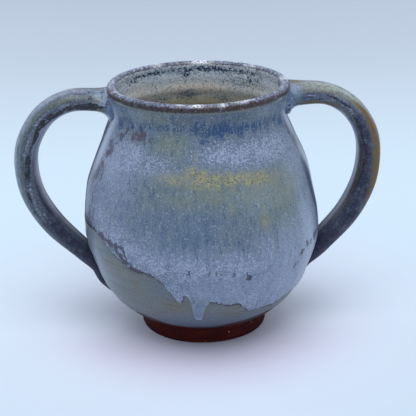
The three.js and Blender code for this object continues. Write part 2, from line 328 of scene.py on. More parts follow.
coat = Finish("base_glaze_finish", roughness=0.34, coat=0.08)
height = coat.height()
cloud = coat.noise(26)
turning = coat.noise(1.6, stretch=(9, 9, 1), rough=0.6, shift=4)
fine = coat.noise(1.0, 2, rough=0.6, shift=5)
powder = coat.noise(0.95, 2, rough=0.6, shift=15)
mottle = coat.noise(2.0, 4, rough=0.7, shift=9)
outside = coat.laid(
    (98, 109, 118),
    (coat.rise(cloud, 0.4, 0.62), (104, 112, 112)),
    (coat.painted("warm", coat.rise(turning, 0.35, 0.6)), (112, 103, 84)),
    # painted reflection, pale, low on both flanks
    (coat.painted("flank_reflection"), (132, 142, 160)),
    (coat.rise(height, 27, 16), (84, 96, 112)),
    (coat.rise(fine, 0.52, 0.66, 0.4), (128, 136, 146)),
    (coat.rise(powder, 0.52, 0.66, 0.4), (78, 88, 96)),
    (coat.rise(turning, 0.52, 0.68, 0.45), (84, 88, 88)),
    (coat.rise(height, 123, 127), (108, 112, 112)),
)
blue_mist = coat.total(powder, (coat.painted("speckle"), 0.18))
navy_spots = coat.total(fine, mottle, (coat.painted("navy"), 0.3))
sand = coat.laid(
    (212, 215, 214),
    (coat.rise(cloud, 0.38, 0.62), (194, 201, 206)),
    (coat.painted("tan"), (192, 182, 166)),
    (coat.rise(height, 123, 128, 0.5), (150, 166, 180)),
    (coat.rise(height, 118, 113), (204, 198, 174)),
    (coat.rise(fine, 0.5, 0.62, 0.35), (144, 146, 142)),
    (coat.rise(blue_mist, 0.56, 0.74, 0.8), (98, 114, 130)),
    (coat.rise(navy_spots, 1.2, 1.4), (42, 56, 80)),
)
crest = coat.total(height, (fine, 3.0))
# Painted highlights on the lip: pale flecks where the crest is lit from above, glints along the
# crest, and sparkles at single spots.
lit_crest_flecks = coat.times(coat.rise(crest, 134.6, 136.2), coat.rise(powder, 0.38, 0.56))
rust = coat.times(coat.rise(cloud, 0.48, 0.56), coat.rise(mottle, 0.52, 0.46, 0.45))
glint = coat.times(
    coat.rise(crest, 135.4, 136.4), coat.rise(mottle, 0.5, 0.56),
    coat.total(0.25, (coat.painted("shine"), 0.7)),
)
lip_tone = coat.laid(
    (22, 20, 30),
    (coat.rise(mottle, 0.42, 0.56), (66, 54, 56)),
    (lit_crest_flecks, (112, 124, 150)),
    (coat.rise(mottle, 0.61, 0.68), (116, 130, 158)),
    (rust, (80, 54, 46)),
    (coat.rise(powder, 0.66, 0.7), (150, 126, 98)),
    (glint, (176, 190, 212)),
    (coat.painted("sparkle", coat.rise(powder, 0.36, 0.52)), (224, 232, 240)),
)
within = coat.rise(coat.painted("inside"), 0.5, 0.9)
lip_edge = coat.total(height, (mottle, 3.0), (within, -2.2))
bare = coat.painted("bare")
tone = coat.laid(
    outside,
    (coat.rise(coat.painted("inside"), 0.6, 0.85), sand),
    (coat.rise(lip_edge, 132.4, 133.0), lip_tone),
    (bare, (58, 30, 30)),
)
relief = coat.total(coat.noise(6, 2, shift=2), (fine, 0.3))
base_glaze_finish = coat.done(tone, relief, 0.12, coat.total(0.34, (bare, 0.4)))

cup_wall = piece_from(wall_skin, "cup_wall", base_glaze_finish)
turn, height_mm = turn_and_height(cup_wall.data)
bare_mm = between(turn, BARE_LINE) - height_mm
store(cup_wall.data, "bare", np.clip(bare_mm / BARE_FADE + 0.5, 0, 1))
paint(cup_wall.data, turn, height_mm, {
    "warm": ((-17, 31, 9, 6, 0.9), (13, 28, 7, 4, 0.8), (-37, 41, 3, 6, 0.8), (-47, 48, 5, 3, 0.6)),
    # painted reflection low on each flank
    "flank_reflection": ((-78, 40, 16, 30, 0.9), (78, 45, 22, 30, 0.9)),
    # painted highlight along the lip, strongest at its sides and back
    "shine": (
        (-80, 134, 22, 5, 1.0), (82, 134, 20, 5, 1.0), (-135, 134, 18, 5, 0.8),
        (160, 134, 36, 5, 0.8), (26, 135, 12, 3, 0.7), (180, 134, 20, 5, 1.0),
    ),
})
paint(cup_wall.data, (turn + 360) % 360, height_mm, {
    # painted glints at single spots on the lip
    "sparkle": (
        (356, 135, 3.6, 0.8, 1.1), (346, 135.2, 3, 0.7, 0.6), (12, 134.4, 1.6, 0.8, 0.9),
        (26, 135.2, 5, 0.8, 0.8), (175, 134.6, 6, 1.2, 1.0), (208, 134.6, 3.5, 1.2, 0.8),
        (136, 134.6, 5, 1, 0.4), (92, 134.6, 4, 1.4, 0.8),
    ),
})
turn, height_mm = turn_and_height(cup_wall.data, 1)
paint(cup_wall.data, turn, height_mm, {
    "tan": ((0, 120.5, 36, 3, 0.8), (-40, 121, 16, 4, 0.4), (48, 121, 14, 5, 0.3)),
    "speckle": (
        (0, 131, 120, 3, 1.0), (-10, 126, 45, 4, 0.4), (40, 125, 22, 5, 0.9),
        (-5, 116.5, 9, 3, 1.3), (22, 114.5, 9, 2, 1.1), (-25, 114.5, 9, 2, 1.1),
        (-70, 128, 16, 4, 0.6), (0, 122, 70, 5, 0.35),
    ),
    "navy": (
        (14, 130.8, 40, 1.8, 1.3), (-6, 128.3, 5, 2, 1.2), (-32, 130.8, 26, 1.6, 1.1),
        (48, 127.5, 12, 2, 1.0), (-54, 129, 10, 1.8, 1.1), (0, 131.5, 90, 0.9, 0.9),
        (-5, 116, 6, 2, 0.7),
    ),
})
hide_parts("thrown_body")
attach(cup_wall, "root")


# Foot ring.
# Bare dark brown stoneware, turned when leather hard, with a shallow recess under the base. It is
# the one place without glaze, so the cup doesn't stick in the kiln.
FOOT_PROFILE = (
    (0, 5.7), (12, 6.1), (22.5, 7.1), (24.9, 7), (26.6, 2), (27.1, 0.7), (28.4, 0), (32.6, 0),
    (33.6, 0.35), (34, 1.3), (34.1, 3), (34.2, 5), (34.4, 7), (34.7, 8.4), (35.3, 9.4),
    (36.2, 10.05), (36.3, 10.4), (34, 10.2), (24, 7.8), (12, 6.6), (0, 6.2),
)
LONG_EDGE = 2.2

# The turning tool's marks lie outside this radius and below this height, and are this share deep
MARKS_FROM = 33
MARKS_TOP = 9
MARK_DEPTH = 0.002

foot_skin = turned(FOOT_PROFILE, BODY_STEPS)
long_edges = [edge for edge in foot_skin.edges if edge.calc_length() > LONG_EDGE]
bmesh.ops.subdivide_edges(foot_skin, edges=long_edges, cuts=2, use_grid_fill=True)
for vert in foot_skin.verts:
    x, y, z = vert.co
    if math.hypot(x, y) > MARKS_FROM and z < MARKS_TOP:
        turning_mark = 1 + MARK_DEPTH * math.sin(z * 5 + math.sin(x / 9))
        vert.co = (x * turning_mark, y * turning_mark, z)
    vert.co.x += between(z, LEAN)

clay = Finish("bare_clay_finish", roughness=0.75)
clay.shader.inputs["Specular IOR Level"].default_value = 0.1
grit = clay.noise(0.9, 4, rough=0.7)
ring_marks = clay.noise(2.2, stretch=(12, 12, 0.6), rough=0.6, shift=4)
tone = clay.laid(
    (64, 33, 32),
    (clay.rise(clay.noise(9, shift=7), 0.35, 0.65), (76, 41, 36)),
    (clay.rise(ring_marks, 0.5, 0.7), (90, 53, 46)),
    (clay.rise(grit, 0.62, 0.7), (96, 64, 54)),
    (clay.rise(clay.cells(4.5, shift=3), 0.09, 0.05), (190, 170, 160)),
)
bare_clay_finish = clay.done(tone, clay.total(ring_marks, (grit, 0.6)), 0.25)

clay_foot = piece_from(foot_skin, "clay_foot", bare_clay_finish)
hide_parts("foot_ring")
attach(clay_foot, "root")


# Overlay glaze.
# A thick second coat poured over the first from the neck down. It stands proud in a rolled edge,
# with two drips left of the middle, and breaks into pale grains, ochre crystals and blue pools.
OVERLAY_COLUMNS = 520
OVERLAY_ROWS = 76
OVERLAY_TOP = 131.2

# (angle from the front, height) of its lower edge
OVERLAY_EDGE = (
    (-90, 62.5), (-75, 63.5), (-65, 64.5), (-59, 63), (-52, 59), (-45, 55), (-42, 53.5), (-40, 52),
    (-37, 50.5), (-34, 50), (-31, 50.5), (-28, 49.5), (-26, 49), (-24, 47.5), (-22, 45.5),
    (-20, 42.5), (-18.5, 40), (-17.4, 37.2), (-16.4, 35.4), (-15.4, 34.6), (-14, 34.6),
    (-13.3, 35.4), (-12.9, 39), (-12.4, 40), (-11, 39.2), (-10, 37.8), (-9.3, 35.5), (-8.9, 33),
    (-8.6, 29.5), (-8.1, 26.5), (-7.6, 24.2), (-7, 23.2), (-6, 22.9), (-4.7, 22.9), (-3.9, 23.7),
    (-3.4, 26), (-2.9, 28.8), (-2.2, 31.6), (-1.2, 33.4), (0, 33.5), (2.2, 35), (3.2, 34),
    (5, 33.2), (8, 32.3), (10, 31.6), (15.5, 31.7), (17, 30.5), (19, 28.5), (21, 26.8), (23, 25.8),
    (30, 25.5), (38, 24.5), (50, 27), (65, 30), (90, 32),
)

# How far the edge frays, (angle, share of that) along it, and the columns it is softened over
RAG_DEPTH = 1.3
RAG_SOFTENING = 5
RAGGED = ((-90, 1), (-60, 1), (-22, 1), (-16, 0.2), (-2, 0.2), (4, 1), (24, 1), (40, 0.4))

# (share of the columns, angle that they reach), crowded round the drips
COLUMN_SPREAD = ((0, -90), (0.3, -23), (0.62, 5), (1, 90))

# (distance above the edge, height off the wall) round the rolled edge
ROLLED_EDGE = (
    (0.5, -0.4), (0.1, -0.1), (-0.1, 0.25), (-0.05, 0.6), (0.2, 0.88), (0.6, 1.0), (1.2, 1.0),
    (2.0, 0.9), (3.2, 0.78), (4.8, 0.7),
)

# (angle, share of the thickness) at the hem and, to each side alike, higher up; and the distances
# above the edge between which the one passes into the other
HEM_SHARE = ((-76, 0.2), (-48, 1), (48, 1), (76, 0.5))
FLANK_SHARE = ((48, 1), (76, 0.9))
HEM_HEIGHTS = (3, 20)

# The coat thins towards its top, and is fuller on the flanks: (height, spread) of each swelling
TOP_THINNING = 1.1
TOP_FADE = 7
SWELLING = 0.6
SWELLING_TURNS = ((58, 0), (78, 1))
RIGHT_SWELLING = (92, 11)
LEFT_SWELLING = (80, 12)

# (angle, height) of the dark lines where the glaze has crawled back: along its left edge, a short
# way above that, and along its right edge; and the width of each
LEFT_CRAWL = (
    (-90, 64), (-80, 64), (-74, 63.5), (-69, 65), (-60, 64.8), (-52, 62.6), (-48, 60.8),
    (-43, 57.2), (-41, 54.5), (-36, 51.4), (-31, 50.2), (-24, 48),
)
LEFT_ISLAND = ((-49, 61.5), (-46, 62.6), (-42.5, 61.6), (-40.5, 58.5), (-39.5, 55))
RIGHT_CRAWL = (
    (46, 45), (48, 47.3), (49, 50), (51, 52), (53, 53.2), (56, 55.3), (60, 55.6), (65, 56.3),
    (78, 57), (90, 57),
)
LEFT_WIDTH, ISLAND_WIDTH, RIGHT_WIDTH = 1.7, 1.6, 2.2

# The angles between which the drips lie, with their pale rim, and (angle, share) of the brown line
# along the whole edge; both fade upwards over the same height
DRIPS = (-20, -1)
RIM_SHARE = 0.8
EDGE_FADE = 0.8
HEM_LINE = (
    (-50, 1), (-24, 1), (-20, 0.7), (-14, 0.5), (-12, 0.8), (-9, 0.2), (-3, 0.2), (0, 0.9),
    (12, 0.9), (19, 0.5), (28, 0.5), (34, 1),
)

# Where the glaze is tinted, grained and stained, and where highlights and reflections are painted
# on
# it: patches and trails by angle and height
OVERLAY_PATCHES = {
    "green": (
        (40, 82, 26, 16, 0.9), (-20, 114, 12, 7, 0.9), (28, 78, 8, 10, 0.7), (10, 92, 30, 7, 0.6),
        (-30, 90, 14, 8, 0.5), (60, 95, 14, 12, 0.6),
    ),
    "slate": (
        (-8, 75, 28, 11, 0.8), (-35, 78, 14, 8, 0.4), (-10, 44, 8, 8, 0.5), (0, 110, 12, 8, 0.4),
    ),
    # lavender haze on the front, and painted reflections near both edges and on the left shoulder
    "haze_and_reflection": (
        (10, 40, 40, 13, 0.8), (36, 54, 16, 16, 0.9), (46, 36, 20, 14, 1.0), (-62, 76, 16, 10, 0.6),
        (80, 58, 9, 30, 0.9), (-80, 90, 12, 40, 0.9), (-66, 100, 12, 20, 1.0),
        (-50, 92, 14, 16, 0.7), (60, 66, 9, 26, 1.0), (62, 100, 9, 14, 0.6), (-5, 60, 30, 5, 0.7),
        (-5, 34, 6, 8, 0.6), (-74, 122, 10, 8, 1.0),
    ),
    # paler glaze in places, and painted highlights near both edges and on the shoulders
    "paler_and_highlit": (
        (61, 46, 10, 30, 0.86), (75, 30, 10, 8, 0.85), (46, 42, 12, 26, 0.48),
        (58, 96, 14, 14, 0.34), (30, 38, 12, 24, 0.34), (15, 44, 12, 9, 0.28), (-4, 42, 12, 9, 0.2),
        (-60, 101, 9, 10, 0.6), (-47, 108, 9, 6, 0.36), (-62, 76, 8, 6, 0.3), (-60, 60, 6, 4, 0.45),
        (-30, 60, 10, 12, 0.22), (30, 104, 14, 5, 0.2), (30, 88, 14, 8, 0.2), (-75, 122, 6, 6, 0.6),
        (45, 128, 10, 3, 0.25), (-45, 128, 8, 3, 0.25), (76, 126, 6, 5, 0.6),
    ),
    "tan": ((-25, 127.5, 26, 3.5, 1.0), (30, 128, 30, 2.5, 0.7)),
    "shade": ((0, 129, 150, 3, 0.9), (15, 125, 50, 3, 0.5), (-60, 124, 10, 6, 0.6)),
    "deep": (
        (0, 122.5, 70, 2.5, 0.55), (-3, 125, 4, 3, 0.9), (0, 119, 3, 6, 0.8), (5, 121, 5, 3, 0.9),
        (12, 122, 8, 4, 1.0), (24, 121, 6, 3, 0.8), (37, 121, 6, 2.5, 0.9), (48, 121, 8, 3, 0.8),
        (61, 122, 4, 7, 1.1), (-49, 120.6, 1.6, 1.6, 1.3), (-42, 120.2, 1.6, 1.8, 1.3),
        (-63, 120.6, 4, 3.5, 1.1), (-20, 123, 10, 2, 0.6),
    ),
    "grain": (
        (17, 109, 20, 5.5, 1.0), (42, 109, 22, 6.5, 1.0), (60, 107, 10, 6, 0.7),
        (0, 108, 6, 4, 0.7), (-48, 106, 14, 8, 0.9), (-30, 104, 14, 6, 0.7), (-58, 92, 10, 14, 0.5),
        (-64, 74, 12, 9, 0.8), (-50, 67, 12, 7, 1.0), (-40, 61, 10, 7, 1.0),
        (-28, 55, 14, 6.5, 1.0), (-10, 54, 14, 7, 1.0), (12, 54, 18, 6.5, 1.0), (22, 34, 8, 7, 1.0),
        (36, 29, 12, 5, 0.8), (-18, 42, 4, 7, 0.9), (-47, 56, 4, 3, 1.0), (28, 60, 4, 10, 0.6),
        (50, 50, 8, 20, 0.4), (8, 38, 8, 5, 0.5),
    ),
    "ochre": (
        (-4, 102, 8, 4, 1.0), (4, 99, 18, 4.5, 1.0), (22, 97.5, 20, 3.5, 1.0),
        (-18, 99, 10, 3.5, 0.8), (12, 84, 2.5, 5, 0.5), (29, 77, 2.5, 7, 0.7),
        (-13, 90, 10, 5, 0.35), (45, 88, 14, 10, 0.4), (14, 90, 26, 6, 0.4), (32, 94, 12, 4, 0.65),
        (-20, 114, 10, 5, 0.3), (-4, 109, 3, 3, 0.5), (-34, 128, 10, 2, 0.5),
    ),
    "brown": (
        (-42, 116.3, 9, 3.8, 1.1), (-53, 117.8, 3, 3, 1.0), (-57, 114, 4, 2.4, 1.0),
        (-34, 114.5, 4, 2, 0.8), (73, 107, 5, 7, 1.3), (75, 102, 5, 5, 1.3), (69, 112, 3, 5, 1.0),
        (-70, 92, 4, 5, 1.0),
    ),
    # painted dark reflection at the left edge
    "left_dark_reflection": ((-80, 63, 12, 4, 0.8),),
    "spots": (
        (-9, 53, 1, 2.2, 0.9), (0, 53, 0.9, 1.8, 0.9), (3.6, 52.3, 0.8, 1.8, 0.9),
        (5.4, 51.8, 0.7, 1.6, 0.8), (11.5, 51.5, 0.9, 2.6, 0.9), (19, 48, 1.8, 2, 1.2),
        (18, 50, 0.7, 2, 0.9), (-20, 51, 0.9, 1.4, 0.7),
    ),
}
OVERLAY_TRAILS = {
    # painted reflection up the left edge
    "haze_and_reflection": (
        ((66, -72, 6, 0), (71, -73, 6, 1), (100, -77, 7, 1), (114, -74, 7, 1), (124, -74, 6, 0)),
    ),
    # painted dark reflection of the handle down the right edge
    "right_dark_reflection": (
        (
            (56, 81, 3, 0), (60, 80.5, 4, 1), (64, 79.4, 4.4, 1), (70, 78, 4.4, 1),
            (75, 75.6, 4.4, 1), (81, 74.4, 4.2, 1), (87, 73, 4, 0.95), (92.5, 72, 3.8, 0.8),
            (97, 71, 3.4, 0.4), (100, 70, 3, 0),
        ),
    ),
    "gleam": (
        (
            (90, -79, 4, 0), (96, -79, 4, 0.6), (104, -78, 5, 0.8), (114, -76, 5, 0.8),
            (124, -76, 4, 0.5), (128, -76, 4, 0),
        ),
        ((104, 76, 4, 0), (110, 76, 4, 0.5), (116, 76, 4.5, 1), (124, 76, 4.5, 1), (128, 77, 4, 0)),
        (
            (64, 88, 4, 0), (70, 87, 4, 0.8), (81, 83, 5, 0.8), (92.5, 80, 5, 0.8),
            (100, 77, 5, 0.7), (112, 80, 5, 0),
        ),
    ),
    # painted dark reflection down the left edge
    "left_dark_reflection": (
        (
            (58, -80, 3, 0), (62, -84, 4, 0.9), (72, -88, 4, 0.9), (95, -90, 4, 0.9),
            (104, -88, 4, 0.9), (114, -84, 4, 0.9), (122, -81, 4, 0),
        ),
    ),
    "brown": (
        (
            (62, -75, 5, 0), (65, -75, 7, 1.1), (69, -72, 6, 0.8), (76, -71, 5, 0.6),
            (86, -72, 5, 0.7), (91, -71, 7, 1.1), (98, -70, 6, 0.8), (104, -67, 6, 0.85),
            (110, -65, 6, 0.9), (114, -58, 8, 0.95), (118, -55, 5, 0),
        ),
    ),
}

column_turns = between(np.arange(OVERLAY_COLUMNS + 1) / OVERLAY_COLUMNS, COLUMN_SPREAD)
edge_heights = between(column_turns, OVERLAY_EDGE)
edge_heights += between(column_turns, RAGGED) * [
    RAG_DEPTH * noise.noise((turn * 0.6, 0, 0)) + RAG_DEPTH * noise.noise((turn * 1.4, 5, 0))
    for turn in column_turns
]
soften = np.hanning(RAG_SOFTENING) / np.hanning(RAG_SOFTENING).sum()
edge_heights = np.convolve(np.pad(edge_heights, RAG_SOFTENING // 2, "edge"), soften, "valid")


def on_wall(turn, height, off):
    """A point off the outer wall, from its angle in degrees, its height and its distance."""
    slope = np.interp(height, wall_line[:, 1], wall_slopes)
    square = math.hypot(1, slope)
    radius = wall_radius(height) + off / square
    z = height - off * slope / square
    across = math.radians(turn)
    return Vector((radius * math.sin(across) + between(z, LEAN), -radius * math.cos(across), z))


overlay_skin = bmesh.new()
bmesh.ops.create_grid(
    overlay_skin, x_segments=OVERLAY_COLUMNS, y_segments=OVERLAY_ROWS - 1, size=0.5
)
for vert in overlay_skin.verts:
    column = round((vert.co.x + 0.5) * OVERLAY_COLUMNS)
    row = round((vert.co.y + 0.5) * (OVERLAY_ROWS - 1))
    turn, edge = column_turns[column], edge_heights[column]
    if row < len(ROLLED_EDGE):
        rise, off = ROLLED_EDGE[row]
        height = edge + rise
    else:
        share = (row + 1 - len(ROLLED_EDGE)) / (OVERLAY_ROWS - len(ROLLED_EDGE))
        start = edge + ROLLED_EDGE[-1][0]
        height = start + (OVERLAY_TOP - start) * share
        top_share = max(0, 1 - (OVERLAY_TOP - height) / TOP_FADE)
        off = ROLLED_EDGE[-1][1] - TOP_THINNING * top_share ** 2
    middle, spread = RIGHT_SWELLING if turn > 0 else LEFT_SWELLING
    fuller = SWELLING * math.exp(-((height - middle) / spread) ** 2)
    off += fuller * between(abs(turn), SWELLING_TURNS)
    shares = (between(turn, HEM_SHARE), between(abs(turn), FLANK_SHARE))
    vert.co = on_wall(turn, height, off * np.interp(height - edge, HEM_HEIGHTS, shares))
    if abs(turn) == 90:
        vert.co.y = 0  # the front half meets the back one here
front_half = overlay_skin.verts[:] + overlay_skin.edges[:] + overlay_skin.faces[:]
bmesh.ops.mirror(overlay_skin, geom=front_half, axis="Y", merge_dist=MERGE_GAP)

coat = Finish("overlay_glaze_finish", roughness=0.4, coat=0.05)
cloud = coat.noise(20, 4, rough=0.55)
streak = coat.noise(4, 4, (1, 1, 6), 0.6, 3)
thread = coat.noise(1.7, 3, (1, 1, 6), 0.6, 6)
fine = coat.noise(0.9, 2, rough=0.65, shift=5)
powder = coat.noise(0.95, 2, rough=0.65, shift=17)
dust = coat.noise(0.7, 2, rough=0.7, shift=23)
clump = coat.noise(4.5, 5, rough=0.65, shift=11)
clumped = coat.rise(clump, 0.25, 0.55)

tinge = coat.painted("ochre", clumped)
crusted = coat.rise(tinge, 0.1, 0.85, 0.85)
crystal = coat.rise(coat.total(dust, (tinge, 0.16)), 0.53, 0.68)
grit = coat.rise(coat.total(fine, (tinge, 0.09)), 0.61, 0.68)
cover = coat.painted("grain")
dense = coat.times(cover, coat.rise(clump, 0.2, 0.6))
grain = coat.total(fine, (dense, 0.22))
clear = coat.total(0.95, (tinge, -0.8))
pool = coat.total(thread, powder, (coat.painted("deep"), 0.48))
hatch = coat.total(clump, (thread, 0.8), (powder, 0.6))
stain = coat.total(hatch, (coat.painted("brown"), 0.46))
crawl = coat.total(hatch, (coat.painted("crawl"), 0.6))
hem = coat.total(hatch, (coat.painted("hem"), 0.7))
specks = coat.total(powder, (coat.painted("spots"), 0.5))
broken = coat.rise(streak, 0.25, 0.6)
frayed = coat.total(0.7, (coat.rise(thread, 0.36, 0.56), 0.3))
right_dark_reflection, left_dark_reflection = coat.painted("right_dark_reflection"), coat.painted("left_dark_reflection")
tone = coat.laid(
    (94, 112, 128),
    (coat.rise(cloud, 0.4, 0.6), (102, 117, 128)),
    (coat.painted("green", broken), (110, 122, 110)),
    (coat.painted("slate", broken), (92, 110, 134)),
    # lavender haze, and painted reflections near the edges and on the left shoulder
    (coat.painted("haze_and_reflection", broken), (136, 148, 174)),
    (coat.painted("tan", broken), (112, 110, 104)),
    (coat.painted("shade", broken), (80, 92, 106)),
    (coat.rise(streak, 0.5, 0.66, 0.34), (74, 94, 118)),
    (coat.rise(streak, 0.46, 0.32, 0.4), (122, 132, 132)),
    (coat.rise(thread, 0.5, 0.62, 0.38), (72, 90, 112)),
    (coat.rise(thread, 0.48, 0.34, 0.3), (124, 134, 144)),
    (coat.rise(powder, 0.5, 0.66, 0.4), (68, 86, 108)),
    (coat.rise(fine, 0.52, 0.68, 0.35), (132, 142, 160)),
    (coat.rise(pool, 1.12, 1.42, 0.9), (30, 70, 108)),
    # paler glaze, and painted highlights near the edges and on the shoulders
    (coat.painted("paler_and_highlit", coat.rise(fine, 0.3, 0.6)), (182, 192, 214)),
    (coat.times(tinge, 0.75), (122, 127, 108)),
    (coat.times(crystal, crusted), (157, 153, 120)),
    (coat.times(grit, crusted), (80, 78, 68)),
    (coat.times(cover, 0.55), (114, 126, 150)),
    (coat.times(coat.rise(grain, 0.57, 0.76), clear), (154, 162, 186)),
    (coat.times(cover, coat.rise(powder, 0.56, 0.68, 0.6)), (84, 94, 120)),
    (coat.rise(stain, 1.46, 1.72, 0.85), (76, 70, 84)),
    (coat.rise(crawl, 1.5, 1.66, 0.85), (66, 60, 74)),
    (coat.painted("rim"), (166, 180, 206)),
    (coat.rise(hem, 1.52, 1.7), (70, 62, 66)),
    (coat.rise(specks, 0.74, 1.0), (66, 68, 84)),
    # painted highlights near the edges, then painted dark reflections down the right and left edges
    (coat.painted("gleam", frayed), (182, 194, 216)),
    (coat.times(right_dark_reflection, frayed), (38, 58, 92)),
    (coat.times(left_dark_reflection, frayed), (58, 50, 70)),
)
relief = coat.total(coat.noise(5, 2, shift=2), (grain, 0.5))
# rougher where the dark reflections are painted, so the gloss does not wash them out
matte_at_dark_reflections = coat.total(0.4, (coat.maths("MAXIMUM", right_dark_reflection, left_dark_reflection), 0.5))
overlay_glaze_finish = coat.done(tone, relief, 0.16, matte_at_dark_reflections)

poured_glaze = piece_from(overlay_skin, "poured_glaze", overlay_glaze_finish)
turn, height_mm = turn_and_height(poured_glaze.data)
turn = np.where(np.abs(turn) > 90, np.sign(turn) * 180 - turn, turn)
paint(poured_glaze.data, turn, height_mm, OVERLAY_PATCHES, OVERLAY_TRAILS)


def wander(turn_pitch, height_pitch, layer):
    """Slow noise over the points of the glaze."""
    return np.array([
        noise.noise((a * turn_pitch, z * height_pitch, layer)) for a, z in zip(turn, height_mm)
    ])


def crawled(line, width):
    """How near each point is to a line where the glaze has crawled back."""
    return np.exp(-((between(turn, line) - height_mm + 2 * drift) / width) ** 2)


drift = wander(0.25, 0.5, 0)
crawl = crawled(LEFT_CRAWL, LEFT_WIDTH) * (turn < LEFT_CRAWL[-1][0])
crawl += crawled(RIGHT_CRAWL, RIGHT_WIDTH) * (turn > RIGHT_CRAWL[0][0])
on_island = (turn > LEFT_ISLAND[0][0]) & (turn < LEFT_ISLAND[-1][0])
crawl = np.maximum(crawl, crawled(LEFT_ISLAND, ISLAND_WIDTH) * on_island)
crawl *= 1 + 1.3 * wander(0.3, 0.15, 7)
store(poured_glaze.data, "crawl", crawl)

above_edge = height_mm - np.interp(turn, column_turns, edge_heights)
on_drips = (turn > DRIPS[0]) & (turn < DRIPS[1])
rim = RIM_SHARE * np.exp(-np.maximum(0, above_edge) / EDGE_FADE) * on_drips
store(poured_glaze.data, "rim", rim)
hem_line = between(turn, HEM_LINE) * np.exp(-np.maximum(0, above_edge - 0.5) / EDGE_FADE)
store(poured_glaze.data, "hem", hem_line)
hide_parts("overlay_glaze")
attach(poured_glaze, "root")


# Handles.
# Straps pulled from wet clay, domed on the back and flatter in the palm, set into the neck and
# thumbed out on the belly. Both coats of glaze have run along them, dark on the ridge.
SIDES = {"right": 1, "left": -1}
STRAP_ROWS = 220
STRAP_SIDES = 56
GRIP_WIDTH = 17.5
TAIL_WIDTH = 11.4
TAIL_LENGTHS = {"right": 8, "left": 16}
TAIL_BLEND = 12

# The back's share of the thickness, and how full each side of the section is
BACK_SHARE = 0.62
BACK_FULLNESS = 0.92
PALM_FULLNESS = 0.82

# How the section swells at the root in the neck and at the landing on the belly
ROOT_DEPTH = 3
ROOT_FADE = 4
ROOT_FLARE = 6
ROOT_BACK = 0.8
ROOT_PALM = 0.6
LANDING_FADE = 14
LANDING_FLARE = 5

# Depth and number of the lines that the potter's hand draws along the strap
PULL_DEPTH = 0.12
PULL_LINES = 9

# (distance from the axis, height, thickness) along the middle of each strap, from inside the neck
# to the tip of its tail
STRAPS = {
    "right": (
        (42.4, 125.3, 13), (51.8, 125.9, 12.3), (67, 125.1, 10.9), (79.1, 117.8, 11.2),
        (87, 105.1, 12.1), (88.9, 91.4, 12.6), (86.2, 75.9, 13), (78, 59.7, 12.4), (65.4, 45, 10.8),
        (57.2, 35.8, 8.6), (54.5, 31, 6.4), (51.6, 27, 4.4),
    ),
    "left": (
        (42.4, 125.4, 12.6), (51.8, 125.8, 11.2), (67.6, 125.7, 11.1), (80.1, 118.9, 11.6),
        (88.6, 105.4, 12.2), (90.8, 91.4, 12.4), (87.9, 75.7, 12.5), (78.6, 59.5, 12),
        (65.2, 45, 9.8), (57.2, 36, 7.8), (53.6, 27, 6.1), (46.6, 18.8, 4.6),
    ),
}

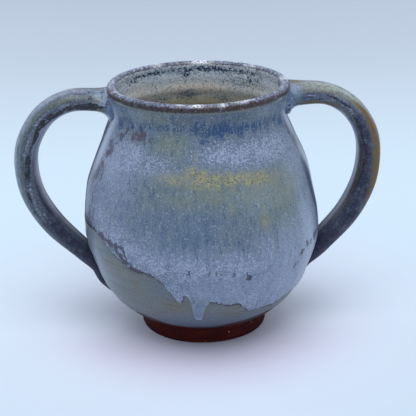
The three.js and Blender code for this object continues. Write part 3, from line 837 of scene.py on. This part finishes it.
# Where each strap's glaze is tinted: patches of (distance along, angle round, half length, half
# angle, strength)
RIGHT_PATCHES = {
    "grey": (
        (16, 86, 6, 14, 0.8), (22, 82, 10, 14, 0.8), (34, 74, 10, 14, 0.8), (44, 82, 14, 18, 0.8),
        (88, 64, 8, 16, 0.5), (99, 60, 10, 18, 0.7), (110, 66, 12, 20, 0.7), (122, 72, 14, 20, 0.5),
    ),
    "sage": (
        (17, 70, 8, 20, 0.8), (24, 62, 10, 20, 1.0), (34, 58, 10, 18, 1.0), (42, 62, 8, 18, 0.8),
    ),
    "olive": (
        (15, 40, 8, 10, 0.7), (22, 40, 8, 10, 0.7), (31, 38, 8, 9, 0.7), (38, 36, 6, 9, 0.6),
        (62, 12, 4, 10, 0.5), (97, -30, 4, 4, 0.7), (110, 0, 6, 4, 0.9), (116, 2, 4, 4, 0.6),
    ),
    "slate": (
        (50, -46, 9, 14, 0.8), (64, -48, 12, 18, 1.0), (82, -50, 14, 22, 1.0), (20, 18, 10, 6, 0.8),
        (50, 4, 12, 18, 0.9), (66, -10, 16, 24, 1.0), (84, 0, 16, 40, 1.0), (100, 0, 16, 54, 1.0),
        (118, 0, 18, 64, 1.0), (138, 0, 18, 90, 1.0),
    ),
    "blue": (
        (46, 12, 5, 8, 0.8), (53, 4, 7, 10, 0.9), (64, -4, 9, 12, 0.8), (76, -8, 8, 12, 0.8),
        (90, 0, 8, 8, 0.6), (104, -10, 8, 8, 0.5),
    ),
    "gold": (
        (41, 44, 6, 12, 0.9), (47, 48, 8, 18, 1.2), (56, 48, 10, 24, 1.3), (68, 46, 12, 28, 1.3),
        (80, 50, 10, 24, 1.1), (90, 58, 8, 18, 0.8), (22, 34, 10, 4, 0.5), (10, -24, 5, 12, 1.1),
        (16, -26, 6, 14, 1.1), (23, -34, 7, 14, 1.0), (31, -14, 6, 6, 1.0), (38, -14, 4, 4, 0.8),
        (66, -42, 8, 4, 0.9), (78, -54, 10, 4, 0.9), (90, -52, 10, 4, 0.8), (100, -56, 8, 5, 0.7),
        (8, 84, 4, 14, 0.8),
    ),
    "night": ((126, -20, 10, 30, 0.7), (134, 0, 10, 60, 0.6), (144, 0, 8, 90, 0.6)),
    "teal": ((8, 50, 3, 40, 0.8),),
    "lilac": (
        (7, 45, 2.5, 24, 1.1), (17, 12, 5, 4, 0.9), (24, 22, 6, 4, 0.9), (31, 22, 7, 4, 1.0),
        (35, 6, 6, 5, 0.9), (40, -2, 4, 5, 0.7), (64, -16, 3, 6, 0.6),
    ),
    "palm": (
        (36, -56, 6, 24, 0.8), (46, -66, 9, 22, 0.8), (60, -82, 12, 18, 0.8),
        (78, -90, 16, 17, 0.7), (98, -90, 16, 16, 0.5), (114, -90, 12, 12, 0.4),
    ),
    "dark": (
        (17, 4, 3, 4, 1.0), (21, -1, 3, 3, 1.0), (25, 13, 3, 5, 1.0), (29, 13, 3.5, 6, 1.2),
        (34, 10, 3.5, 6, 1.2), (43, -7, 4, 7, 1.3), (48, -13, 5, 8, 1.5), (54, -18, 5, 9, 1.6),
        (60, -20, 5, 9, 1.6), (66, -12, 5, 8, 1.5), (72, -24, 6, 8, 1.4), (79, -31, 6, 7, 1.3),
        (85, -30, 6, 4, 1.0), (85, 3, 5, 3, 1.0), (76, 8, 4, 3, 0.8), (96, -6, 5, 3, 0.9),
        (11, 24, 1.4, 16, 0.9), (9, 62, 1.6, 8, 1.0), (7, 6, 3, 8, 0.9), (54, 14, 3, 5, 0.9),
        (66, 8, 4, 5, 0.9), (58, -2, 4, 4, 0.8),
    ),
}
LEFT_PATCHES = {
    "grey": (
        (28, 80, 12, 18, 0.8), (21, 66, 6, 10, 0.7), (34, 74, 14, 18, 0.8), (50, 68, 14, 20, 0.62),
        (64, 66, 16, 22, 0.62), (80, 58, 14, 20, 0.55), (92, 50, 8, 16, 0.45),
        (110, 56, 12, 20, 0.45), (124, 66, 14, 20, 0.45),
    ),
    "olive": (
        (22, 32, 6, 8, 0.7), (28, 29, 6, 8, 0.8), (34, 33, 6, 8, 0.8), (40, 37, 8, 9, 0.7),
        (47, 36, 8, 9, 0.5), (54, 30, 10, 9, 0.5), (62, 24, 8, 9, 0.5), (70, 20, 8, 8, 0.4),
        (10, 14, 3, 8, 0.6),
    ),
    "slate": (
        (22, 20, 8, 10, 0.5), (36, 24, 12, 12, 0.5), (54, 20, 14, 14, 0.6), (72, 8, 14, 20, 0.6),
        (86, 0, 12, 30, 0.6), (58, -30, 8, 10, 0.8), (67, -38, 10, 12, 0.9), (78, -38, 10, 14, 1.0),
        (92, -36, 12, 22, 1.0), (106, -10, 12, 44, 1.0), (122, 0, 16, 50, 1.0),
        (140, 0, 18, 80, 1.0), (157, 0, 14, 90, 1.0),
    ),
    "teal": ((10, 42, 3.5, 60, 1.1),),
    "blue": ((13, 20, 1.6, 8, 0.6),),
    "gold": (
        (10.5, 84, 1.4, 8, 0.9), (11, 20, 1.4, 6, 0.9), (22, -24, 6, 6, 1.0), (16, -26, 4, 6, 0.7),
    ),
    "night": (
        (106, -14, 10, 24, 0.7), (118, -12, 14, 26, 0.9), (132, -6, 14, 34, 0.6),
        (150, 0, 16, 90, 0.5),
    ),
    "lilac": (
        (17, 62, 5, 20, 0.9), (24, 70, 6, 12, 0.7), (7, 40, 1.4, 70, 1.2), (28, 14, 7, 4, 0.9),
        (37, 17, 8, 5, 0.9), (46, 18, 9, 5, 0.9), (58, 14, 10, 5, 0.9), (70, 10, 10, 6, 0.8),
        (80, 4, 6, 8, 1.0), (89, 10, 5, 6, 1.0), (95, 12, 5, 5, 0.9), (97, -2, 4, 5, 0.8),
    ),
    "palm": (
        (30, -50, 8, 30, 1.0), (42, -54, 12, 38, 1.0), (54, -62, 12, 34, 1.0),
        (68, -70, 12, 30, 1.0), (84, -78, 14, 26, 0.6),
    ),
    "dark": (
        (8, -9, 4, 14, 1.2), (14, -7, 5, 20, 1.35), (19, -8, 6, 20, 1.35), (25, -10, 6, 18, 1.3),
        (31, -12, 6, 18, 1.25), (37, -7, 6, 18, 1.2), (43, -4, 6, 17, 1.2), (50, -4, 7, 16, 1.15),
        (58, -6, 7, 14, 1.1), (66, -2, 8, 14, 1.1), (74, 4, 7, 13, 1.05), (83, 15, 4, 9, 1.1),
        (87, 20, 4, 6, 1.0), (94, 26, 6, 6, 1.2), (100, 26, 4, 6, 1.1), (88, 2, 5, 4, 0.9),
        (15, 34, 3.4, 26, 1.0), (16, 60, 3, 14, 0.9), (8, 62, 1.4, 20, 0.9), (66, -40, 8, 8, 0.6),
    ),
}


def strap_line(stations):
    """Points along a strap's middle with their thickness, in mm, and the distance to each."""
    points = np.array([tuple(point) for point in smooth_line(stations, steps=30)])
    steps = np.hypot(*np.diff(points[:, :2], axis=0).T)
    return points, np.concatenate([[0], np.cumsum(steps)])


strap_lines = {name: strap_line(stations) for name, stations in STRAPS.items()}
NEARBY = 0.5


def smoothstep(value, low, high):
    share = min(1, max(0, (value - low) / (high - low)))
    return share * share * (3 - 2 * share)


@functools.cache
def strap_section(name, distance):
    """The middle, direction and sizes of a strap's section at a distance along it."""
    points, along = strap_lines[name]
    length, tail = along[-1], TAIL_LENGTHS[name]
    x, z, thickness = [np.interp(distance, along, points[:, axis]) for axis in range(3)]
    near = (max(0, distance - NEARBY), min(length, distance + NEARBY))
    (x0, x1), (z0, z1) = [np.interp(near, along, points[:, axis]) for axis in (0, 1)]
    forward = Vector((x1 - x0, z1 - z0)).normalized()
    root = math.exp(-max(0, distance - ROOT_DEPTH) / ROOT_FADE)
    landing = math.exp(-max(0, length - distance - tail) / LANDING_FADE)
    body = smoothstep(length - distance, 0, tail + TAIL_BLEND)
    grip = GRIP_WIDTH + LANDING_FLARE * landing
    half = (TAIL_WIDTH + (grip - TAIL_WIDTH) * body + root * ROOT_FLARE) / 2
    upper = thickness * BACK_SHARE + root * ROOT_BACK
    lower = thickness * (1 - BACK_SHARE) + root * ROOT_PALM
    return (x, z), forward, half, upper, lower, body


def strap_point(name, distance, around, growth=lambda back: 0):
    """A point of a strap's skin, from its distance along and its angle round: 0 on the side, 90 on
    the back, -90 in the palm. Growth is what lies on the skin, from how far it faces the back."""
    centre, forward, half, upper, lower, body = strap_section(name, distance)
    across, back = -math.cos(around), math.sin(around)
    depth, fullness = (upper, BACK_FULLNESS) if back > 0 else (lower, PALM_FULLNESS)
    lines = PULL_DEPTH * body * math.sin(PULL_LINES * around + 0.7 * math.sin(distance / 17))
    extra = growth(back) + lines
    rise = math.copysign(abs(back) ** fullness, back) * (depth + extra)
    reach = math.copysign(abs(across) ** fullness, across) * (half + extra)
    return Vector((centre[0] - forward.y * rise, reach, centre[1] + forward.x * rise))


def sleeve(rows):
    """A closed tube about the upright axis, a unit wide, whose rows lie at whole heights."""
    return turned([(0, 0), *[(1, row) for row in range(rows)], (0, rows - 1)], STRAP_SIDES)


def lay_on_strap(vert, name, distance, growth=lambda back: 0):
    """Moves a sleeve's point to a strap's skin, or to its middle if the point closes an end, and
    returns the angle round."""
    around = math.atan2(vert.co.y, vert.co.x)
    if math.hypot(vert.co.x, vert.co.y) < 0.5:
        vert.co = (strap_point(name, distance, 0) + strap_point(name, distance, math.pi)) / 2
    else:
        vert.co = strap_point(name, distance, around, growth)
    vert.co.x *= SIDES[name]
    return around


def drawn_strap(name):
    skin = sleeve(STRAP_ROWS)
    along_layer = skin.verts.layers.float.new("along")
    around_layer = skin.verts.layers.float.new("around")
    across_layer = skin.verts.layers.float.new("across")
    length = strap_lines[name][1][-1]
    for vert in skin.verts:
        even = vert.co.z / (STRAP_ROWS - 1)
        crowded = (1 - math.cos(math.pi * even)) / 2
        distance = length * (even + crowded) / 2
        around = lay_on_strap(vert, name, distance)
        vert[along_layer] = distance
        vert[around_layer] = math.degrees(math.asin(math.sin(around)))
        vert[across_layer] = math.cos(around)
    return skin


def read(mesh, name):
    values = np.empty(len(mesh.vertices), np.float32)
    mesh.attributes[name].data.foreach_get("value", values)
    return values


coat = Finish("handle_glaze_finish", roughness=0.4, coat=0.05)
run = coat.node("ShaderNodeCombineXYZ", {
    0: coat.painted("across", 9 * MM),
    1: coat.painted("around", 0.12 * MM),
    2: coat.painted("along", MM),
}).outputs[0]
streak = coat.noise(3, 4, (1, 1, 5), 0.6, 3, run)
thread = coat.noise(1.6, 3, (1, 1, 4), 0.6, 8, run)
fine = coat.noise(1.05, 2, rough=0.6, shift=5)
powder = coat.noise(1.1, 2, rough=0.6, shift=15)
clump = coat.noise(4, 4, rough=0.65, shift=11)
clumped = coat.rise(clump, 0.2, 0.55)
slate = coat.painted("slate")
tone = coat.over(coat.rise(streak, 0.4, 0.6), (76, 90, 106), (98, 108, 120))
for mark, shade in (
    ("grey", (158, 170, 188)), ("olive", (104, 118, 92)), ("slate", (10, 38, 62)),
    ("teal", (122, 144, 160)), ("sage", (160, 170, 160)), ("blue", (14, 46, 74)),
    ("gold", (108, 84, 46)), ("night", (28, 39, 62)),
):
    tone = coat.over(coat.painted(mark, clumped), tone, shade)

# Threads and flecks, fainter where the glaze is slate or gold
for flecks, strength, shade in (
    (coat.rise(thread, 0.5, 0.62), 0.6, (56, 62, 82)),
    (coat.rise(fine, 0.52, 0.66), 0.5, (140, 146, 160)),
    (coat.rise(powder, 0.52, 0.66), 0.5, (66, 70, 78)),
):
    kept = coat.total(strength, (slate, -0.4), (coat.painted("gold"), -0.4))
    tone = coat.over(coat.times(flecks, coat.maths("MAXIMUM", kept, 0)), tone, shade)

halo = coat.total(fine, clump, (coat.painted("lilac"), 0.5))
ink = coat.total(thread, clump, (coat.painted("dark"), 0.6), (powder, 0.7))
black = coat.over(coat.rise(fine, 0.5, 0.66), (32, 28, 44), (68, 62, 88))
tone = coat.laid(
    tone,
    (coat.rise(halo, 1.24, 1.6, 0.75), (138, 148, 174)),
    (coat.painted("palm"), (156, 160, 180)),
    (coat.rise(ink, 1.78, 1.98), black),
)
relief = coat.total(coat.noise(4, 3, (1, 1, 6), 0.5, 2, run), (fine, 0.3))
handle_glaze_finish = coat.done(tone, relief, 0.15, coat.total(0.4, (slate, 0.3)))

for name, patches in (("right", RIGHT_PATCHES), ("left", LEFT_PATCHES)):
    strap = piece_from(drawn_strap(name), f"{name}_pulled_handle", handle_glaze_finish)
    paint(strap.data, read(strap.data, "along"), read(strap.data, "around"), patches)
    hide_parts(f"{name}_handle")
    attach(strap, "root")


# Luting coils.
# Soft clay pressed into the corner round each handle's upper end and smoothed off. Glaze pools in
# the hollow and turns pale blue.
COIL_ROWS = 22
COIL_REACH = 11
COIL_SIDE = 0.9
SIDE_FADE = 2
COIL_SINK = 0.25

# (thickness under the strap where it meets the neck, length in which it thins by two thirds)
FILLETS = {"right": (2.6, 2.4), "left": (4.2, 3.2)}

coat = Finish("pooled_glaze_finish", roughness=0.3, coat=0.15)
fine = coat.noise(1.3, rough=0.6)
clump = coat.noise(4, 4, rough=0.6, shift=3)
tone = coat.laid(
    (84, 100, 126),
    (coat.rise(clump, 0.4, 0.6), (112, 130, 160)),
    (coat.rise(coat.total(coat.painted("along"), (clump, 4.0)), 8, 10), (96, 94, 92)),
    (coat.rise(coat.total(fine, clump), 1.04, 1.16), (68, 60, 76)),
)
pooled_glaze_finish = coat.done(tone, fine, 0.1)

for name in SIDES:
    thickness, fade = FILLETS[name]
    skin = sleeve(COIL_ROWS)
    along_layer = skin.verts.layers.float.new("along")
    for vert in skin.verts:
        distance = (ROOT_DEPTH + COIL_REACH) * vert.co.z / (COIL_ROWS - 1)
        past_wall = max(0, distance - ROOT_DEPTH - 1)

        def growth(back):
            """Thickness of the coil, full under the strap and thin beside it."""
            under = thickness * math.exp(-past_wall / fade) * max(0, -back) ** 1.5
            beside = COIL_SIDE * math.exp(-past_wall / SIDE_FADE) * (1 - smoothstep(back, 0, 1))
            return under + beside - COIL_SINK

        lay_on_strap(vert, name, distance, growth)
        vert[along_layer] = distance
    coil = piece_from(skin, f"{name}_smoothed_coil", pooled_glaze_finish)
    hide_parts(f"{name}_luting_coil")
    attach(coil, "root")


# Table.
# A plain pale sheet that the cup stands on, round and wide enough to fill the view. It is painted a
# little bluer and duller away from the camera, where less light falls, and round the foot it has
# painted pinkish light and a painted shadow in front of the cup.
TABLE_RADIUS = 4000

floor_skin = bmesh.new()
bmesh.ops.create_circle(floor_skin, cap_ends=True, segments=96, radius=TABLE_RADIUS)
sheet = Finish("table_finish", roughness=0.55)
away = sheet.node("ShaderNodeSeparateXYZ", {0: sheet.place}).outputs["Y"]
from_foot = sheet.node(
    "ShaderNodeVectorMath", {0: sheet.place}, operation="LENGTH"
).outputs["Value"]
# painted shadow just in front of the foot
painted_front_shadow = sheet.times(sheet.rise(from_foot, 0.1, 0.055), sheet.rise(away, 0.0, -0.045))
tone = sheet.laid(
    (0.54, 0.67, 0.755, 1),
    (sheet.rise(away, -0.12, 0.2), (0.59, 0.725, 0.815, 1)),
    # painted duller far from the camera, where less light falls
    (sheet.rise(away, 0.17, 0.7), (0.495, 0.57, 0.65, 1)),
    # painted pinkish light round the foot, lifting and tinting the cup's shadow
    (sheet.rise(from_foot, 0.19, 0.05), (0.685, 0.745, 0.865, 1)),
    # painted shadow in front of the foot
    (painted_front_shadow, (0.625, 0.625, 0.765, 1)),
)
table = piece_from(floor_skin, "table", sheet.done(tone))


# Light and camera.
# Soft daylight from all round, one large lamp above the front, and two small ones behind the cup
# that don't glint in its glaze. The camera stands in front and looks down over the lip.
DAYLIGHT = (0.82, 0.88, 1.0, 1)
DAYLIGHT_STRENGTH = 0.72
LAMP_AIM = (0, 0, 0.07)

# (name, place, width, power, whether it glints in the glaze)
LAMPS = (
    ("overhead_lamp", (0.0, -0.5, 1.45), 1.2, 14, True),
    ("window_lamp", (-0.9, 0.75, 0.5), 0.5, 3, False),
    ("far_lamp", (0.9, 0.8, 0.6), 0.5, 2, False),
)
CAMERA_PLACE = (-0.03284, -0.62658, 0.29870)
CAMERA_PAN = -3.326
CAMERA_TILT = 69.52
CAMERA_ROLL = -1
CAMERA_LENS = 107.08
SENSOR_WIDTH = 36

world = bpy.data.worlds.new("daylight")
bpy.context.scene.world = world
world.use_nodes = True
background = world.node_tree.nodes["Background"].inputs
background["Color"].default_value = DAYLIGHT
background["Strength"].default_value = DAYLIGHT_STRENGTH

for name, place, width, power, glints in LAMPS:
    light = bpy.data.lights.new(name, "AREA")
    light.shape, light.size, light.energy = "SQUARE", width, power
    lamp = bpy.data.objects.new(name, light)
    lamp.location = place
    lamp.rotation_euler = (Vector(LAMP_AIM) - Vector(place)).to_track_quat("-Z", "Y").to_euler()
    lamp.visible_glossy = glints
    bpy.context.scene.collection.objects.link(lamp)

camera = bpy.data.objects.new("camera", bpy.data.cameras.new("camera"))
camera.data.lens = CAMERA_LENS
camera.data.sensor_width = SENSOR_WIDTH
camera.matrix_world = (
    Matrix.Translation(CAMERA_PLACE)
    @ Matrix.Rotation(math.radians(CAMERA_PAN), 4, "Z")
    @ Matrix.Rotation(math.radians(CAMERA_TILT), 4, "X")
    @ Matrix.Rotation(math.radians(CAMERA_ROLL), 4, "Z")
)
bpy.context.scene.collection.objects.link(camera)
bpy.context.scene.camera = camera

bpy.context.scene.view_settings.view_transform = "Standard"
